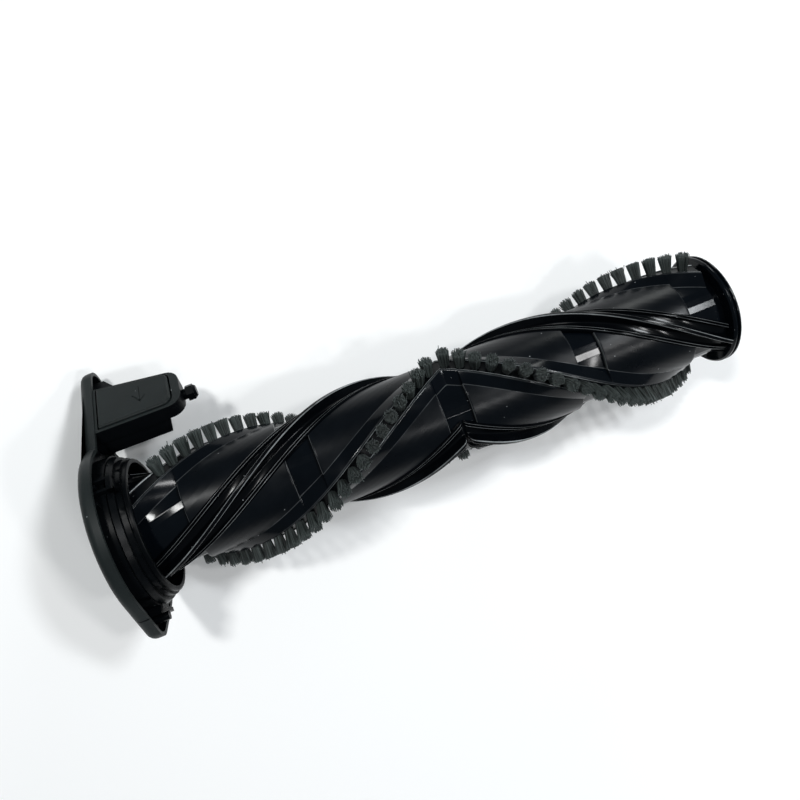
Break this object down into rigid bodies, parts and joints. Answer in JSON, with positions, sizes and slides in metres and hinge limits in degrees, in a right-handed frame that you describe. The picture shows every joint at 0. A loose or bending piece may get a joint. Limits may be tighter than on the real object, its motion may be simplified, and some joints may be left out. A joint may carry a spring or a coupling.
{
  "type": "carpet brush roll",
  "caption": "Vacuum cleaner brush roll with chevron rows of bristle tufts and rubber fins, held in an end cap with a push-button latch.",
  "frame": {"origin": "mouth of the drive socket, on the roll's axis", "axes": "+X along the roll's axis, out of the drive socket; +Z out of the latch's button side, away from the surface the roll lies on; +Y towards the latch"},
  "size_m": [0.2291, 0.0953, 0.0621],
  "materials": {
    "satin_black": "satin",
    "body_black": "satin",
    "gloss_black": "gloss",
    "bristle": "matte",
    "fin_rubber": "satin",
    "steel": "satin"
  },
  "bodies": {
    "end_cap": {"cap_cover": "satin_black", "cap_base": "body_black", "cap_screws": "steel", "bearing_outer_race": "steel", "bearing_balls": "steel", "bearing_shields": "steel", "latch_housing": "satin_black", "latch_spring": "steel", "locating_peg": "satin_black"},
    "roll": {"axle": "steel", "bearing_inner_race": "steel", "axle_clip": "steel", "end_plug": "satin_black", "drum": "gloss_black", "drive_hub": "gloss_black", "bristles_a_left": "bristle", "bristles_a_right": "bristle", "bristles_b_left": "bristle", "bristles_b_right": "bristle", "fin_a_left": "fin_rubber", "fin_a_right": "fin_rubber", "fin_b_left": "fin_rubber", "fin_b_right": "fin_rubber"},
    "button": {"latch_button": "satin_black"}
  },
  "joints": [
    {"name": "roll_spin", "type": "hinge", "parent": "end_cap", "child": "roll", "pos_m": [0, 0, 0], "axis": [1, 0, 0], "continuous": true},
    {"name": "button_press", "type": "slide", "parent": "end_cap", "child": "button", "axis": [0, -0.6587, -0.7524], "range_m": [0, 0.0022], "stiffness_N_per_m": 1200, "deforming": ["latch_spring"]}
  ]
}
